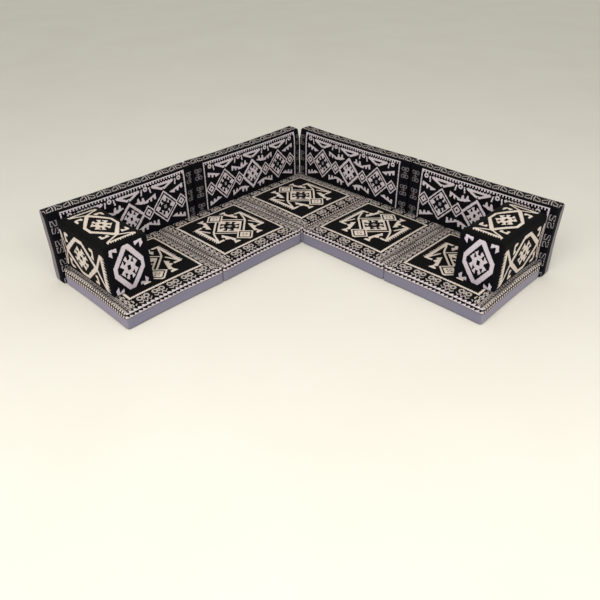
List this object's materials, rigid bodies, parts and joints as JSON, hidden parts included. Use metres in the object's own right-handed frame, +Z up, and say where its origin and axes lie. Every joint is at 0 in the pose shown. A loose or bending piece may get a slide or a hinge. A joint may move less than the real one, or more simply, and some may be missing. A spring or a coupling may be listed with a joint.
{
  "type": "floor sofa",
  "caption": "L-shaped floor sofa of loose woven cushions: square seat mattresses, upright back cushions and block arm cushions with zipped covers over foam.",
  "frame": {"origin": "on the floor, under the middle of the sofa's bounding box", "axes": "+Z up; +X along the right wing as one sits in it, whose backs stand on its +Y side; the left wing runs along -Y and has its backs on its -X side"},
  "size_m": [2.2438, 2.2438, 0.489],
  "materials": {
    "patterned_cloth": "woven jacquard, black ground with ivory motifs",
    "plain_cloth": "plain grey canvas",
    "base_cloth": "dense non-slip lining cloth",
    "foam": "open cell foam",
    "zip_tape": "woven nylon tape with coil teeth",
    "zip_metal": "dark nickel"
  },
  "bodies": {
    "seat_corner": {"seat_corner_core": "foam", "seat_corner_cover": "patterned_cloth", "seat_corner_band": "plain_cloth", "seat_corner_base": "base_cloth", "seat_corner_zip": "zip_tape"},
    "seat_corner_slider": {"seat_corner_slider": "zip_metal"},
    "seat_right_1": {"seat_right_1_core": "foam", "seat_right_1_cover": "patterned_cloth", "seat_right_1_band": "plain_cloth", "seat_right_1_base": "base_cloth", "seat_right_1_zip": "zip_tape"},
    "seat_right_1_slider": {"seat_right_1_slider": "zip_metal"},
    "seat_right_2": {"seat_right_2_core": "foam", "seat_right_2_cover": "patterned_cloth", "seat_right_2_band": "plain_cloth", "seat_right_2_base": "base_cloth", "seat_right_2_zip": "zip_tape"},
    "seat_right_2_slider": {"seat_right_2_slider": "zip_metal"},
    "seat_left_1": {"seat_left_1_core": "foam", "seat_left_1_cover": "patterned_cloth", "seat_left_1_band": "plain_cloth", "seat_left_1_base": "base_cloth", "seat_left_1_zip": "zip_tape"},
    "seat_left_1_slider": {"seat_left_1_slider": "zip_metal"},
    "seat_left_2": {"seat_left_2_core": "foam", "seat_left_2_cover": "patterned_cloth", "seat_left_2_band": "plain_cloth", "seat_left_2_base": "base_cloth", "seat_left_2_zip": "zip_tape"},
    "seat_left_2_slider": {"seat_left_2_slider": "zip_metal"},
    "back_right_1": {"back_right_1_core": "foam", "back_right_1_cover": "patterned_cloth", "back_right_1_rear": "plain_cloth", "back_right_1_zip": "zip_tape"},
    "back_right_1_slider": {"back_right_1_slider": "zip_metal"},
    "back_right_2": {"back_right_2_core": "foam", "back_right_2_cover": "patterned_cloth", "back_right_2_rear": "plain_cloth", "back_right_2_zip": "zip_tape"},
    "back_right_2_slider": {"back_right_2_slider": "zip_metal"},
    "back_left_1": {"back_left_1_core": "foam", "back_left_1_cover": "patterned_cloth", "back_left_1_rear": "plain_cloth", "back_left_1_zip": "zip_tape"},
    "back_left_1_slider": {"back_left_1_slider": "zip_metal"},
    "back_left_2": {"back_left_2_core": "foam", "back_left_2_cover": "patterned_cloth", "back_left_2_rear": "plain_cloth", "back_left_2_zip": "zip_tape"},
    "back_left_2_slider": {"back_left_2_slider": "zip_metal"},
    "arm_right": {"arm_right_core": "foam", "arm_right_cover": "patterned_cloth", "arm_right_base": "base_cloth", "arm_right_zip": "zip_tape"},
    "arm_right_slider": {"arm_right_slider": "zip_metal"},
    "arm_left": {"arm_left_core": "foam", "arm_left_cover": "patterned_cloth", "arm_left_base": "base_cloth", "arm_left_zip": "zip_tape"},
    "arm_left_slider": {"arm_left_slider": "zip_metal"}
  },
  "joints": [
    {"name": "seat_right_1_lift", "type": "slide", "parent": "seat_corner", "child": "seat_right_1", "axis": [0, 0, 1], "range_m": [0, 0.3]},
    {"name": "seat_right_2_lift", "type": "slide", "parent": "seat_corner", "child": "seat_right_2", "axis": [0, 0, 1], "range_m": [0, 0.3]},
    {"name": "seat_left_1_lift", "type": "slide", "parent": "seat_corner", "child": "seat_left_1", "axis": [0, 0, 1], "range_m": [0, 0.3]},
    {"name": "seat_left_2_lift", "type": "slide", "parent": "seat_corner", "child": "seat_left_2", "axis": [0, 0, 1], "range_m": [0, 0.3]},
    {"name": "back_right_1_lift", "type": "slide", "parent": "seat_corner", "child": "back_right_1", "axis": [0, 0, 1], "range_m": [0, 0.55]},
    {"name": "back_right_2_lift", "type": "slide", "parent": "seat_corner", "child": "back_right_2", "axis": [0, 0, 1], "range_m": [0, 0.55]},
    {"name": "back_left_1_lift", "type": "slide", "parent": "seat_corner", "child": "back_left_1", "axis": [0, 0, 1], "range_m": [0, 0.55]},
    {"name": "back_left_2_lift", "type": "slide", "parent": "seat_corner", "child": "back_left_2", "axis": [0, 0, 1], "range_m": [0, 0.55]},
    {"name": "arm_right_lift", "type": "slide", "parent": "seat_right_2", "child": "arm_right", "axis": [0, 0, 1], "range_m": [0, 0.4]},
    {"name": "arm_left_lift", "type": "slide", "parent": "seat_left_2", "child": "arm_left", "axis": [0, 0, 1], "range_m": [0, 0.4]},
    {"name": "seat_corner_zip_slide", "type": "slide", "parent": "seat_corner", "child": "seat_corner_slider", "axis": [1, 0, 0], "range_m": [0, 0.4966]},
    {"name": "seat_right_1_zip_slide", "type": "slide", "parent": "seat_right_1", "child": "seat_right_1_slider", "axis": [1, 0, 0], "range_m": [0, 0.4966]},
    {"name": "seat_right_2_zip_slide", "type": "slide", "parent": "seat_right_2", "child": "seat_right_2_slider", "axis": [1, 0, 0], "range_m": [0, 0.4966]},
    {"name": "seat_left_1_zip_slide", "type": "slide", "parent": "seat_left_1", "child": "seat_left_1_slider", "axis": [0, -1, 0], "range_m": [0, 0.4966]},
    {"name": "seat_left_2_zip_slide", "type": "slide", "parent": "seat_left_2", "child": "seat_left_2_slider", "axis": [0, -1, 0], "range_m": [0, 0.4966]},
    {"name": "back_right_1_zip_slide", "type": "slide", "parent": "back_right_1", "child": "back_right_1_slider", "axis": [1, 0, 0], "range_m": [0, 0.6167]},
    {"name": "back_right_2_zip_slide", "type": "slide", "parent": "back_right_2", "child": "back_right_2_slider", "axis": [1, 0, 0], "range_m": [0, 0.6167]},
    {"name": "back_left_1_zip_slide", "type": "slide", "parent": "back_left_1", "child": "back_left_1_slider", "axis": [0, -1, 0], "range_m": [0, 0.6167]},
    {"name": "back_left_2_zip_slide", "type": "slide", "parent": "back_left_2", "child": "back_left_2_slider", "axis": [0, -1, 0], "range_m": [0, 0.6167]},
    {"name": "arm_right_zip_slide", "type": "slide", "parent": "arm_right", "child": "arm_right_slider", "axis": [1, 0, 0], "range_m": [0, 0.1767]},
    {"name": "arm_left_zip_slide", "type": "slide", "parent": "arm_left", "child": "arm_left_slider", "axis": [0, -1, 0], "range_m": [0, 0.1767]}
  ]
}
